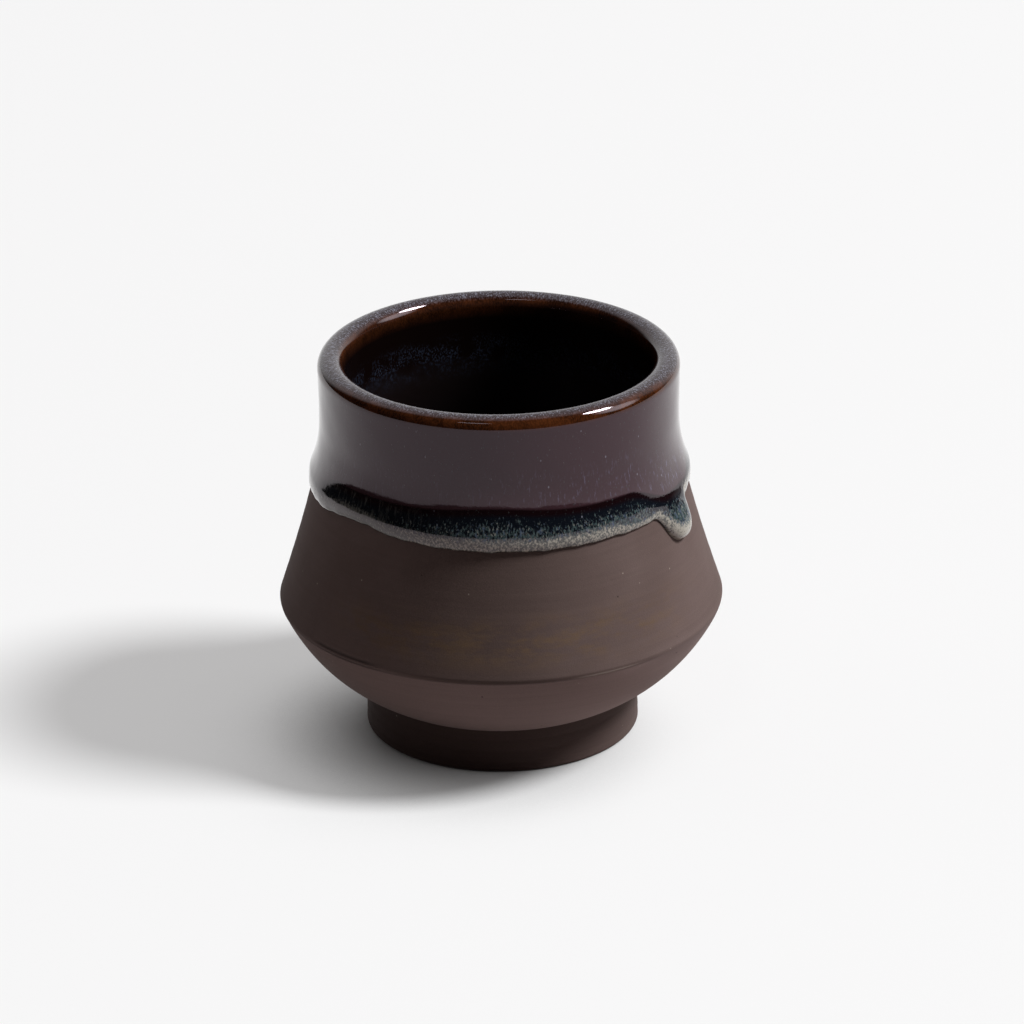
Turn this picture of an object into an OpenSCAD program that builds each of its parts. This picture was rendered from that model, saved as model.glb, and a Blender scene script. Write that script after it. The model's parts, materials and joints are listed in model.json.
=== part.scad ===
// Guinomi: a thrown stoneware cup for sake, with a ring foot, an angular belly and an
// upright collar. The collar was dipped in a dark glaze that has gathered at its lower
// edge into a fat roll and has sagged into one run.
// Millimetres, +Z up. The origin is the centre of the face that the foot stands on.
// The front faces -Y, and the run hangs on the front right.

/* [Foot] */
// Outside diameter of the foot ring at its widest, just above its base
foot_d = 43.2; // [38:0.2:50]
// How far the foot's wall draws in from its base up to the body
foot_taper = 0.2; // [0:0.1:2]
// Height of the foot ring, up to the body's underside
foot_h = 7.1; // [5:0.1:10]
// Width of the flat face that the foot stands on
foot_land = 4.2; // [2:0.1:6]
// Rounding along both edges of the standing face
foot_edge = 0.6; // [0.2:0.1:1]
// How far the wall of the hollow inside the foot leans inwards on its way up
recess_taper = 0.6; // [0:0.1:2]
// Height of the low boss on the underside that the foot ring is luted round
boss_h = 1.5; // [0.5:0.1:3]

/* [Bowl and belly] */
// Height of the bowl, from the foot ring up to the belly's edge
bowl_h = 14.3; // [11:0.1:20]
// How far the underside runs out from the foot before it turns up
bowl_run = 7.8; // [5:0.1:10]
// How far the underside climbs over that run
bowl_rise = 4; // [2:0.1:7]
// Diameter of the belly's edge, before the edge is rounded
belly_d = 70.4; // [66:0.2:84]
// How far the rounding of the belly's edge reaches up the shoulder
belly_round_up = 0.7; // [0.3:0.1:4]
// How far that rounding reaches down the bowl
belly_round_down = 3; // [0.5:0.1:5]

/* [Shoulder and collar] */
// Height of the shoulder, from the belly's edge to where its slope meets the collar's line
shoulder_h = 22.6; // [16:0.2:30]
// Height of the hollow sweep from there up to the upright waist of the collar
neck_h = 8; // [6:0.1:12]
// Height of the collar, from its waist to the top of the rim
collar_h = 10.3; // [7:0.1:18]
// Outside diameter of the bare clay at the collar's waist
collar_d = 55.5; // [48:0.1:60]
// Thickness of the bare clay at the lip
lip_t = 3.5; // [2.5:0.1:5]
// How far the lip leans out past the waist
lip_flare = 0.25; // [0:0.05:1.5]

/* [Inside] */
// Thickness of the wall at the belly's edge
belly_wall = 4.2; // [3:0.1:6]
// Thickness of the floor over the hollow in the foot
floor_t = 5.2; // [3.5:0.1:8]
// Diameter of the level middle of the floor
floor_d = 12; // [6:0.5:24]
// How far in from the belly the inside turns down to the floor
inside_bend = 7.5; // [5:0.1:11]
// How far the rounding of the inside reaches each way from the belly
inside_round = 6; // [3:0.1:9]

/* [Glaze] */
// Thickness of the coat on the outside of the collar
coat = 0.45; // [0.3:0.05:0.6]
// Thickness of the coat where it has thinned over the lip
lip_coat = 0.3; // [0.2:0.05:0.4]
// Thickness of the coat inside the cup
liner_coat = 0.35; // [0.25:0.05:0.6]
// How far below the waist the coat starts to swell
swell_drop = 5.3; // [4:0.1:6]
// How far below the waist the coat ends on the shoulder
roll_drop = 10.9; // [9.5:0.1:14]
// Height of the rounded nose of the roll above that lower edge
roll_h = 2.75; // [1.5:0.05:3.5]
// Thickness of the roll at the top of its nose
roll_t = 1; // [0.7:0.05:1.5]
// How far the nose carries on down before it turns under
roll_reach = 1.25; // [0.6:0.05:2]

/* [Run] */
// Where the run hangs, in degrees round from the front to the right
run_turn = 67; // [0:1:359]
// Width of the run at the roll's lower edge
run_w = 12.3; // [6:0.1:20]
// How far the run hangs below the roll's lower edge
run_len = 5.2; // [2:0.1:9]
// Squareness of the run's tip, where 2 is an ellipse
run_square = 2.2; // [2:0.1:4]

/* [Hidden] */
$fn = 128;
// Steps along one curve of a profile, and round the edges of the standing face
curve_steps = 16;
edge_steps = 6;
// Stations across the run
run_steps = 28;

// Heights up the cup
belly_z = foot_h + bowl_h;
neck_z = belly_z + shoulder_h;
waist_z = neck_z + neck_h;
rim_z = waist_z + collar_h;
lip_z = rim_z - lip_t / 2 - lip_coat;
recess_z = foot_h - boss_h;
floor_z = recess_z + floor_t;
swell_z = waist_z - swell_drop;
roll_z = waist_z - roll_drop;

// Foot ring, as radii
foot_r = foot_d / 2;
land_out_r = foot_r - foot_edge;
land_in_r = land_out_r - foot_land;
recess_r = land_in_r - foot_edge;
boss_r = recess_r - recess_taper;
foot_top = [foot_r - foot_taper, foot_h];

// Corner points of the outside, as [radius, height]
bowl_corner = foot_top + [bowl_run, bowl_rise];
belly = [belly_d / 2, belly_z];
collar_r = collar_d / 2;
neck_corner = [collar_r, neck_z];
waist = [collar_r, waist_z];
bowl_end = towards(belly, bowl_corner, belly_round_down);
shoulder_start = towards(belly, neck_corner, belly_round_up);

// Lip: a half round on the collar's wall
lip_out_r = collar_r + lip_flare;
lip_mid_r = lip_out_r - lip_t / 2;
lip_in_r = lip_out_r - lip_t;

// Sector that the run takes out of the roll, from its width at the roll's lower edge
roll_edge_t = shoulder_t(roll_z);
run_half = run_w / 2 / shoulder_at(roll_edge_t)[0] * 180 / PI;
run_mid = run_turn - 90;

// Point at a distance from one point towards another
function towards(from, to, distance) = from + distance * (to - from) / norm(to - from);

// Point of the curve from a to b that is pulled towards corner k, at t from 0 to 1
function bend_at(a, k, b, t) = (1 - t) * (1 - t) * a + 2 * t * (1 - t) * k + t * t * b;

// Points of that curve between two values of t
function bend(a, k, b, steps = curve_steps, t0 = 0, t1 = 1) =
    [for (i = [0 : steps]) bend_at(a, k, b, t0 + (t1 - t0) * i / steps)];

// Points of an arc round a centre, between two angles
function arc(centre, radius, from, to, steps) =
    [for (i = [0 : steps]) let (a = from + (to - from) * i / steps) centre + radius * [cos(a), sin(a)]];

// A list without its first entry, and a list turned round
function rest(list) = [for (i = [1 : len(list) - 1]) list[i]];
function backwards(list) = [for (i = [len(list) - 1 : -1 : 0]) list[i]];

// Where the shoulder's curve passes a height, its point there, and a stretch of it
function shoulder_t(z) =
    let (a = shoulder_start[1], b = 2 * (neck_z - a), c = a - 2 * neck_z + waist_z)
    2 * (z - a) / (b + sqrt(b * b + 4 * c * (z - a)));
function shoulder_at(t) = bend_at(shoulder_start, neck_corner, waist, t);
function shoulder(t0, t1) = bend(shoulder_start, neck_corner, waist, curve_steps, t0, t1);

// Outside of the collar from its waist up to the lip, under or on top of the coat
function collar(waist_coat, top_coat) = bend(
    [collar_r + waist_coat, waist_z],
    [collar_r + waist_coat, (waist_z + lip_z) / 2],
    [lip_out_r + top_coat, lip_z]);

// Half round of the lip from outside to inside, under or on top of the coat
function lip(top_coat) = arc([lip_mid_r, lip_z], lip_t / 2 + top_coat, 0, 180, curve_steps);

// Inside of the cup from the lip down to the middle of the floor, under or on top of the coat
function inside(top_coat, wall_coat) =
    let (
        upright = [lip_in_r - wall_coat, waist_z],
        neck = [lip_in_r - wall_coat, neck_z],
        side = [belly_d / 2 - belly_wall - wall_coat, belly_z],
        turn = [side[0] - inside_bend, floor_z + wall_coat],
        round_top = towards(side, neck, inside_round),
        round_end = towards(side, turn, inside_round)
    )
    concat(
        [[lip_in_r - top_coat, lip_z]],
        bend(upright, neck, round_top),
        rest(bend(round_top, side, round_end)),
        rest(bend(round_end, turn, [floor_d / 2, floor_z + wall_coat])),
        [[0, floor_z + wall_coat]]);

// Section of the thickened glaze below the waist, sagging by a distance at its lower edge
function roll_section(sag) =
    let (
        edge_t = shoulder_t(roll_z - sag),
        nose_top = shoulder_at(shoulder_t(roll_z - sag + roll_h)) + [roll_t, 0],
        swell = [collar_r + coat, swell_z],
        nose = towards(nose_top, swell, -roll_reach)
    )
    concat(
        bend([collar_r + coat, waist_z], swell, nose_top),
        rest(bend(nose_top, nose, shoulder_at(edge_t))),
        rest(shoulder(edge_t, 1)));

// A section stood up at an angle round the cup
function stand(section, angle) = [for (p = section) [p[0] * cos(angle), p[0] * sin(angle), p[1]]];

// Body: thrown in one piece from the boss inside the foot up to the lip
module clay_body() {
    profile = concat(
        [[0, recess_z], [boss_r, recess_z], [boss_r, foot_h]],
        bend(foot_top, bowl_corner, bowl_end),
        rest(bend(bowl_end, belly, shoulder_start)),
        rest(shoulder(0, roll_edge_t)),
        rest(shoulder(roll_edge_t, 1)),
        rest(collar(0, 0)),
        rest(lip(0)),
        rest(inside(0, 0)));
    color("#4c3f3b") rotate_extrude() polygon(profile);
}

// Foot: a ring luted to the underside, round its boss
module foot_ring() {
    profile = concat(
        arc([land_out_r, foot_edge], foot_edge, -90, 0, edge_steps),
        [foot_top, [boss_r, foot_h], [boss_r, recess_z]],
        arc([land_in_r, foot_edge], foot_edge, 180, 270, edge_steps));
    color("#3a2e2b") rotate_extrude() polygon(profile);
}

// Coat inside the cup
module liner_glaze() {
    color("#160c08") rotate_extrude()
        polygon(concat(inside(0, 0), backwards(inside(lip_coat, liner_coat))));
}

// Thin coat over the lip, where the glaze breaks to amber
module lip_glaze() {
    color("#4a2a18") rotate_extrude()
        polygon(concat(lip(0), backwards(lip(lip_coat))));
}

// Coat on the upright outside of the collar
module collar_glaze() {
    color("#2e2529") rotate_extrude()
        polygon(concat(collar(0, 0), backwards(collar(coat, lip_coat))));
}

// Fat roll at the lower edge of the coat, all round apart from the run's sector
module glaze_roll() {
    color("#5c6668") rotate([0, 0, run_mid + run_half]) rotate_extrude(angle = 360 - 2 * run_half)
        polygon(roll_section(0));
}

// Run: the same section, sagging along a rounded tongue between the roll's two ends
module glaze_run() {
    stations = [
        for (i = [0 : run_steps])
            let (
                across = -cos(180 * i / run_steps),
                sag = run_len * pow(max(0, 1 - pow(abs(across), run_square)), 1 / run_square)
            )
            stand(roll_section(sag), run_mid + across * run_half)
    ];
    ring = len(stations[0]);
    sides = [
        for (i = [0 : run_steps - 1], j = [0 : ring - 1])
            let (
                near = i * ring + j,
                near_next = i * ring + (j + 1) % ring,
                far = near + ring,
                far_next = near_next + ring
            )
            each [[near, far, far_next], [near, far_next, near_next]]
    ];
    first_end = [for (j = [0 : ring - 1]) j];
    last_end = [for (j = [ring - 1 : -1 : 0]) run_steps * ring + j];
    color("#6d787a") polyhedron([for (s = stations) each s], concat(sides, [first_end, last_end]));
}

clay_body();
foot_ring();
liner_glaze();
lip_glaze();
collar_glaze();
glaze_roll();
glaze_run();
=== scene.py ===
"""Dressed model of a guinomi: a thrown stoneware sake cup with a dark glaze over its collar.

Lengths are in millimetres until a mesh is made. A turn is an angle in degrees round the cup
from its front, which faces -Y, towards its right, which is +X.
"""

from __future__ import annotations

import json
import logging
import math
from dataclasses import dataclass, field
from enum import Enum
from typing import Any, Mapping, Sequence, Union

import bpy
import numpy as np
from mathutils import Matrix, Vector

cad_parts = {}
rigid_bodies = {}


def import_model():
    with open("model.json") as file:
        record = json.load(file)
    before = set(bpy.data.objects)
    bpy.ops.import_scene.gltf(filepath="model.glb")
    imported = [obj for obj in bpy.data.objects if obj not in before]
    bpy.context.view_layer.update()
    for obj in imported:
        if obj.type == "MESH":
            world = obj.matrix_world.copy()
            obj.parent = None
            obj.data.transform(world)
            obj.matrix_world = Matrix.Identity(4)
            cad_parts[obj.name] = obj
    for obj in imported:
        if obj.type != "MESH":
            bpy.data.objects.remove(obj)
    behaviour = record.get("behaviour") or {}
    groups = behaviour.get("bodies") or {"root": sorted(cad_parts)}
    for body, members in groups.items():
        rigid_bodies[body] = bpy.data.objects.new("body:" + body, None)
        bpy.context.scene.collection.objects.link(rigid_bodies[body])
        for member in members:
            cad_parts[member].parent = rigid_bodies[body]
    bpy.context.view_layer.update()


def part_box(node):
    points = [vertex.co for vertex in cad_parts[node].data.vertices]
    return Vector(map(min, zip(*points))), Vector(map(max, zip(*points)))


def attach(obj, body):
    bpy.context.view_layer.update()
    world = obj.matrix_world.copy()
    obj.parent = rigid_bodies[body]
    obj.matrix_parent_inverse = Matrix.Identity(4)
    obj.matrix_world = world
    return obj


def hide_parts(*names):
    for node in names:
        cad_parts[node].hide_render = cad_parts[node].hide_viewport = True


MM = 0.001
TINY = 1e-9
RUN_TURN = 65.5
log = logging.getLogger("guinomi")

Grid = np.ndarray
Level = Union[float, Grid]
Span = tuple[Level, Level]
Colour = tuple[float, float, float]
Value = Union["Sock", float]


class Slot(Enum):
    """Material slots of the record, listed for each piece of glaze; the pieces all take the one glaze finish.
    """

    STONEWARE = "stoneware"
    DARK = "dark_glaze"
    AMBER = "amber_glaze"
    POOLED = "pooled_glaze"


# Curves and grids


def curve(start: Grid, corner: Grid, end: Grid, count: int) -> Grid:
    """Points of the curve from start to end that is pulled towards a corner.

    Formula: (1 - t)^2 start + 2 t (1 - t) corner + t^2 end, with t from 0 to 1.

    Args:
        start: First point of the curve.
        corner: Point that the curve is pulled towards.
        end: Last point of the curve.
        count: How many points to give.

    Returns:
        An array of shape (count, 2).
    """
    t = np.linspace(0.0, 1.0, count)[:, None]
    return (1 - t) ** 2 * start + 2 * t * (1 - t) * corner + t**2 * end


def towards(start: Grid, end: Grid, distance: float) -> Grid:
    """Point at a distance from one point towards another."""
    return start + distance * (end - start) / np.linalg.norm(end - start)


def ease(value: Grid, low: Level, high: Level) -> Grid:
    """Rises smoothly from 0 at low to 1 at high: x^2 (3 - 2 x), with x clipped to 0..1."""
    x = np.clip((value - low) / (high - low), 0.0, 1.0)
    return x * x * (3 - 2 * x)


def plateau(value: Grid, rise: Span, fall: Span) -> Grid:
    """Rises smoothly from 0 to 1 over one span and falls back to 0 over another."""
    return ease(value, *rise) * (1 - ease(value, *fall))


def hump(value: Grid, middle: Level, width: float, power: float = 2.0) -> Grid:
    """A smooth hump of height 1: exp(-|(value - middle) / width|^power)."""
    return np.exp(-np.abs((value - middle) / width) ** power)


@dataclass(frozen=True)
class Hump:
    """A smooth hump round the cup, with its turn and width in degrees."""

    turn: float
    width: float
    size: float = 1.0
    power: float = 2.0

    def at(self, around: Grid) -> Grid:
        """Heights of the hump: size x exp(-|(around - turn) / width|^power)."""
        return self.size * hump(around, self.turn, self.width, self.power)


def wrapped(turn: Grid) -> Grid:
    """Angles brought between -180 and 180 degrees."""
    return (turn + 180.0) % 360.0 - 180.0


def stand(radius: Grid, height: Grid, turn: Grid) -> Grid:
    """Points in space from cylinder coordinates.

    Formula: x = radius sin(turn), y = -radius cos(turn), z = height.

    Args:
        radius: Distances from the cup's axis.
        height: Heights above the standing face.
        turn: Angles round from the front, in degrees.

    Returns:
        An array of points, in millimetres, with one more axis than the arguments.
    """
    angle = np.radians(turn)
    x, y = radius * np.sin(angle), -radius * np.cos(angle)
    return np.stack(np.broadcast_arrays(x, y, height), axis=-1)


def slope(points: Grid, axis: int) -> Grid:
    """Direction of a grid along one axis, from the points on either side weighed by their distance.

    Formula: with steps a before and b after a point, (a/b (next - here) + b/a (here - last)) / (a + b).

    Args:
        points: Grid of points, of shape (columns, rows, 3).
        axis: 0 for columns, which close on themselves, or 1 for rows, which end.

    Returns:
        Directions of the same shape, not of unit length.
    """
    if axis == 0:
        after = np.roll(points, -1, axis=0) - points
        before = points - np.roll(points, 1, axis=0)
    else:
        step = np.diff(points, axis=1)
        after = np.concatenate([step, step[:, -1:]], axis=1)
        before = np.concatenate([step[:, :1], step], axis=1)
    a, b = (np.linalg.norm(step, axis=-1, keepdims=True) + TINY for step in (before, after))
    return (a / b * after + b / a * before) / (a + b)


def unit(vectors: Grid) -> Grid:
    """Vectors brought to length 1."""
    return vectors / np.maximum(np.linalg.norm(vectors, axis=-1, keepdims=True), TINY)


# Meshes


@dataclass
class Patch:
    """Faces of a grid of vertex numbers, with a normal for each of their corners."""

    ids: Grid
    normals: Grid | None = None
    turned: bool = False

    def faces(self) -> tuple[Grid, Grid]:
        """Four-sided faces between neighbouring columns and rows.

        Returns:
            Vertex numbers of shape (faces, 4), and corner normals of shape (faces, 4, 3) that
            are zero where the patch holds none.
        """
        corners = [np.s_[:-1, :-1], np.s_[1:, :-1], np.s_[1:, 1:], np.s_[:-1, 1:]]
        if self.turned:
            corners.reverse()
        ids = np.stack([self.ids[c].ravel() for c in corners], axis=1)
        if self.normals is None:
            return ids, np.zeros((len(ids), 4, 3))
        return ids, np.stack([self.normals[c].reshape(-1, 3) for c in corners], axis=1)


@dataclass
class Piece:
    """One piece of the cup, as points and patches that are put together into a mesh."""

    name: str
    points: Grid
    patches: Sequence[Patch]
    attributes: Mapping[str, Grid] = field(default_factory=dict)
    sharp_angle: float = 35.0

    def make(self) -> bpy.types.Object:
        """Makes the mesh and its object, and logs the piece.

        A face whose corners repeat a vertex, at a pole or along a thin edge, becomes a triangle.
        Corners without a normal of their own take that of their face.

        Returns:
            The new object, at the origin, with its place in its mesh.
        """
        parts = [patch.faces() for patch in self.patches]
        faces = np.concatenate([p[0] for p in parts])
        normals = np.concatenate([p[1] for p in parts])
        kept = faces != np.roll(faces, -1, axis=1)
        sides = kept.sum(axis=1)
        quads, triangles = sides == 4, sides == 3
        corners = kept[triangles]
        three = faces[triangles][corners].reshape(-1, 3)
        mesh = bpy.data.meshes.new(self.name)
        mesh.from_pydata((self.points * MM).tolist(), [], faces[quads].tolist() + three.tolist())
        mesh.update()
        for name, values in self.attributes.items():
            kind, key = ("FLOAT", "value") if values.shape[1] == 1 else ("FLOAT_VECTOR", "vector")
            data = mesh.attributes.new(name, kind, "POINT").data
            data.foreach_set(key, values.astype(np.float32).ravel())
        mesh.shade_smooth()
        if any(patch.normals is not None for patch in self.patches):
            given = (normals[quads], normals[triangles][corners])
            given = np.concatenate([part.reshape(-1, 3) for part in given])
            flat = np.zeros(len(mesh.polygons) * 3)
            mesh.polygons.foreach_get("normal", flat)
            counts = np.repeat([4, 3], [quads.sum(), triangles.sum()])
            own = np.repeat(flat.reshape(-1, 3), counts, axis=0)
            blank = np.linalg.norm(given, axis=1) < 0.5
            given[blank] = own[blank]
            mesh.normals_split_custom_set(given.tolist())
        else:
            mesh.set_sharp_from_angle(angle=math.radians(self.sharp_angle))
        piece = bpy.data.objects.new(self.name, mesh)
        bpy.context.scene.collection.objects.link(piece)
        log.info("%s: %d points, %d faces", self.name, len(mesh.vertices), len(mesh.polygons))
        return piece

    def seat(self, finish: bpy.types.Material, node: str) -> bpy.types.Object:
        """Makes the piece, puts its finish on and sets it in the frame in place of a solid.

        Args:
            finish: Material of the piece.
            node: Solid of the frame that the piece replaces.

        Returns:
            The new object.
        """
        piece = self.make()
        piece.data.materials.append(finish)
        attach(piece, "root")
        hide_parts(node)
        return piece


def ring_ids(columns: int, rows: int, poles: bool = False) -> Grid:
    """Vertex numbers of a grid whose last column joins its first.

    Args:
        columns: Number of columns round the cup.
        rows: Number of rows along the section.
        poles: True where the first and the last row are each one point on the axis.

    Returns:
        Numbers of shape (columns + 1, rows); a pole repeats the number of its first column.
    """
    ids = np.arange(columns * rows).reshape(columns, rows)
    if poles:
        ids[:, [0, -1]] = ids[0, [0, -1]]
    return np.concatenate([ids, ids[:1]])


def used_only(
    points: Grid, patches: Sequence[Patch], attributes: Mapping[str, Grid]
) -> tuple[Grid, dict[str, Grid]]:
    """Drops points that no patch uses and numbers the rest afresh, in the patches too.

    Args:
        points: All points, of shape (points, 3).
        patches: Patches whose vertex numbers are changed in place.
        attributes: Values for each point.

    Returns:
        The points that are left, and their attributes.
    """
    used = np.unique(np.concatenate([patch.ids.ravel() for patch in patches]))
    number = np.full(len(points), -1)
    number[used] = np.arange(len(used))
    for patch in patches:
        patch.ids = number[patch.ids]
    return points[used], {name: values[used] for name, values in attributes.items()}


# The cup's section


@dataclass(frozen=True)
class CupSection:
    """Section of the cup, with its main heights and radii from the frame."""

    foot_r: float
    foot_h: float
    waist_z: float
    lip_z: float
    roll_z: float
    run_tip_z: float
    foot_taper: float = 0.2
    foot_land: float = 4.2
    foot_edge: float = 0.6
    recess_taper: float = 0.6
    boss_h: float = 1.5
    bowl_run: float = 7.8
    bowl_rise: float = 4.0
    belly_r: float = 35.2
    belly_z: float = 21.4
    belly_round_up: float = 0.7
    belly_round_down: float = 3.0
    neck_z: float = 44.0
    collar_r: float = 27.75
    lip_t: float = 3.5
    lip_flare: float = 0.25
    belly_wall: float = 4.2
    floor_t: float = 5.2
    floor_r: float = 6.0
    inside_bend: float = 7.5
    inside_round: float = 6.0
    coat: float = 0.45
    lip_coat: float = 0.3
    liner_coat: float = 0.35
    swell_drop: float = 4.5
    roll_h: float = 2.75
    roll_t: float = 1.0

    @classmethod
    def from_frame(cls) -> CupSection:
        """Takes the main heights and the foot's radius from the frame's boxes.

        Returns:
            The section, with its other sizes as this class gives them.
        """
        nodes = "foot_ring", "collar_glaze", "lip_glaze", "glaze_roll", "glaze_run"
        foot, collar, lip, roll, run = (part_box(node) for node in nodes)
        return cls(
            foot_r=foot[1].x / MM,
            foot_h=foot[1].z / MM,
            waist_z=collar[0].z / MM,
            lip_z=lip[0].z / MM,
            roll_z=roll[0].z / MM,
            run_tip_z=run[0].z / MM,
        )

    @property
    def recess_z(self) -> float:
        """Height of the hollow inside the foot."""
        return self.foot_h - self.boss_h

    @property
    def floor_z(self) -> float:
        """Height of the bare floor inside the cup."""
        return self.recess_z + self.floor_t

    @property
    def land(self) -> tuple[float, float]:
        """Inner and outer radius of the flat that the foot stands on."""
        outer = self.foot_r - self.foot_edge
        return outer - self.foot_land, outer

    @property
    def boss_r(self) -> float:
        """Radius of the boss that the foot ring is luted round."""
        return self.land[0] - self.foot_edge - self.recess_taper

    @property
    def foot_top(self) -> Grid:
        """Outer corner where the foot meets the bowl."""
        return np.array([self.foot_r - self.foot_taper, self.foot_h])

    @property
    def bowl_corner(self) -> Grid:
        """Corner that the bowl's curve is pulled towards."""
        return self.foot_top + [self.bowl_run, self.bowl_rise]

    @property
    def belly(self) -> Grid:
        """The belly's edge before it is rounded."""
        return np.array([self.belly_r, self.belly_z])

    @property
    def neck(self) -> Grid:
        """Corner where the shoulder's slope meets the collar's line."""
        return np.array([self.collar_r, self.neck_z])

    @property
    def shoulder_start(self) -> Grid:
        """Lower end of the shoulder's curve."""
        return towards(self.belly, self.neck, self.belly_round_up)

    def shoulder_r(self, height: Grid) -> Grid:
        """Radius of the bare shoulder at given heights, from the curve's parameter at each.

        Args:
            height: Heights between the belly and the waist.

        Returns:
            Radii of the same shape.
        """
        start = self.shoulder_start
        rise = height - start[1]
        linear = 2 * (self.neck_z - start[1])
        square = start[1] - 2 * self.neck_z + self.waist_z
        t = 2 * rise / (linear + np.sqrt(np.maximum(linear**2 + 4 * square * rise, 0.0)))
        return start[0] * (1 - t) ** 2 + self.collar_r * (2 * t * (1 - t) + t**2)

    def bowl(self, count: int) -> Grid:
        """Bowl from the foot up to the belly's rounding."""
        end = towards(self.belly, self.bowl_corner, self.belly_round_down)
        return curve(self.foot_top, self.bowl_corner, end, count)

    def belly_edge(self, count: int) -> Grid:
        """Rounded edge of the belly, from the bowl to the shoulder."""
        start = towards(self.belly, self.bowl_corner, self.belly_round_down)
        return curve(start, self.belly, self.shoulder_start, count)

    def shoulder(self, low: float, high: float, count: int) -> Grid:
        """Shoulder between two heights."""
        height = np.linspace(low, high, count)
        return np.stack([self.shoulder_r(height), height], axis=1)

    def collar(self, waist_coat: float, top_coat: float, count: int) -> Grid:
        """Outside of the collar from its waist to the lip, bare or under a coat.

        Args:
            waist_coat: Thickness of the coat at the waist.
            top_coat: Thickness of the coat at the lip.
            count: How many points to give.

        Returns:
            Points as radius and height, from the waist up.
        """
        radius = self.collar_r + waist_coat
        middle = (self.waist_z + self.lip_z) / 2
        end = np.array([self.collar_r + self.lip_flare + top_coat, self.lip_z])
        return curve(np.array([radius, self.waist_z]), np.array([radius, middle]), end, count)

    def lip(self, top_coat: float, count: int) -> Grid:
        """Half round of the lip, bare or under a coat.

        Formula: a half circle round the middle of the wall, from angle 0 outside to pi inside.

        Args:
            top_coat: Thickness of the coat.
            count: How many points to give.

        Returns:
            Points as radius and height, from outside to inside.
        """
        angle = np.linspace(0.0, math.pi, count)
        middle = self.collar_r + self.lip_flare - self.lip_t / 2
        radius = self.lip_t / 2 + top_coat
        around = np.stack([np.cos(angle), np.sin(angle)], axis=1)
        return np.array([middle, self.lip_z]) + radius * around

    def inside(self, top_coat: float, wall_coat: float, count: int) -> Grid:
        """Inside from the lip down to the middle of the floor, bare or under a coat.

        Args:
            top_coat: Thickness of the coat at the lip.
            wall_coat: Thickness of the coat on the wall and floor.
            count: Points along each of the inside's three curves.

        Returns:
            Points as radius and height, from the lip to the axis.
        """
        lip_r = self.collar_r + self.lip_flare - self.lip_t
        top = np.array([lip_r - top_coat, self.lip_z])
        upright = np.array([lip_r - wall_coat, self.waist_z])
        neck = np.array([lip_r - wall_coat, self.neck_z])
        side = np.array([self.belly_r - self.belly_wall - wall_coat, self.belly_z])
        turn = np.array([side[0] - self.inside_bend, self.floor_z + wall_coat])
        level = np.array([self.floor_r, self.floor_z + wall_coat])
        round_top = towards(side, neck, self.inside_round)
        round_end = towards(side, turn, self.inside_round)
        return np.concatenate(
            [
                np.linspace(top, upright, count // 3)[:-1],
                curve(upright, neck, round_top, count),
                curve(round_top, side, round_end, count)[1:],
                curve(round_end, turn, level, count)[1:],
                np.linspace(level, [0.0, level[1]], count // 4)[1:],
            ]
        )


# Shader trees


class Sock:
    """An output socket of a shader tree; arithmetic on it adds Math nodes."""

    def __init__(self, tree: ShaderTree, socket: bpy.types.NodeSocket) -> None:
        """Keeps the tree and the socket."""
        self.tree = tree
        self.socket = socket

    def _math(self, operation: str, first: Value, second: Value) -> Sock:
        """Adds one Math node and gives its output."""
        return self.tree.node("ShaderNodeMath", {"operation": operation}, {0: first, 1: second})

    def __add__(self, other: Value) -> Sock:
        """Sum."""
        return self._math("ADD", self, other)

    def __radd__(self, other: Value) -> Sock:
        """Sum, with the socket second."""
        return self._math("ADD", other, self)

    def __sub__(self, other: Value) -> Sock:
        """Difference."""
        return self._math("SUBTRACT", self, other)

    def __rsub__(self, other: Value) -> Sock:
        """Difference, with the socket second."""
        return self._math("SUBTRACT", other, self)

    def __mul__(self, other: Value) -> Sock:
        """Product."""
        return self._math("MULTIPLY", self, other)

    def __rmul__(self, other: Value) -> Sock:
        """Product, with the socket second."""
        return self._math("MULTIPLY", other, self)

    def max(self, other: Value) -> Sock:
        """Larger of two values."""
        return self._math("MAXIMUM", self, other)

    def step(self, low: float, high: float) -> Sock:
        """Rises smoothly from 0 at low to 1 at high."""
        inputs = {"Value": self, "From Min": low, "From Max": high}
        return self.tree.node("ShaderNodeMapRange", {"interpolation_type": "SMOOTHSTEP"}, inputs)

    def band(self, rise: Span, fall: Span) -> Sock:
        """Rises smoothly from 0 to 1 over one span and falls back to 0 over another."""
        return self.step(*rise) * (1 - self.step(*fall))


@dataclass(frozen=True)
class Noise:
    """Soft noise over a surface: its scale in waves per millimetre, and its stretch along each axis."""

    scale: float
    detail: float = 2.0
    roughness: float = 0.6
    stretch: Colour = (1.0, 1.0, 1.0)


@dataclass(frozen=True)
class Spots:
    """Round spots on some of many scattered points, between bounds of their size and chance."""

    scale: float
    size: Span
    chance: Span
    stretch: Colour = (1.0, 1.0, 1.0)


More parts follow.
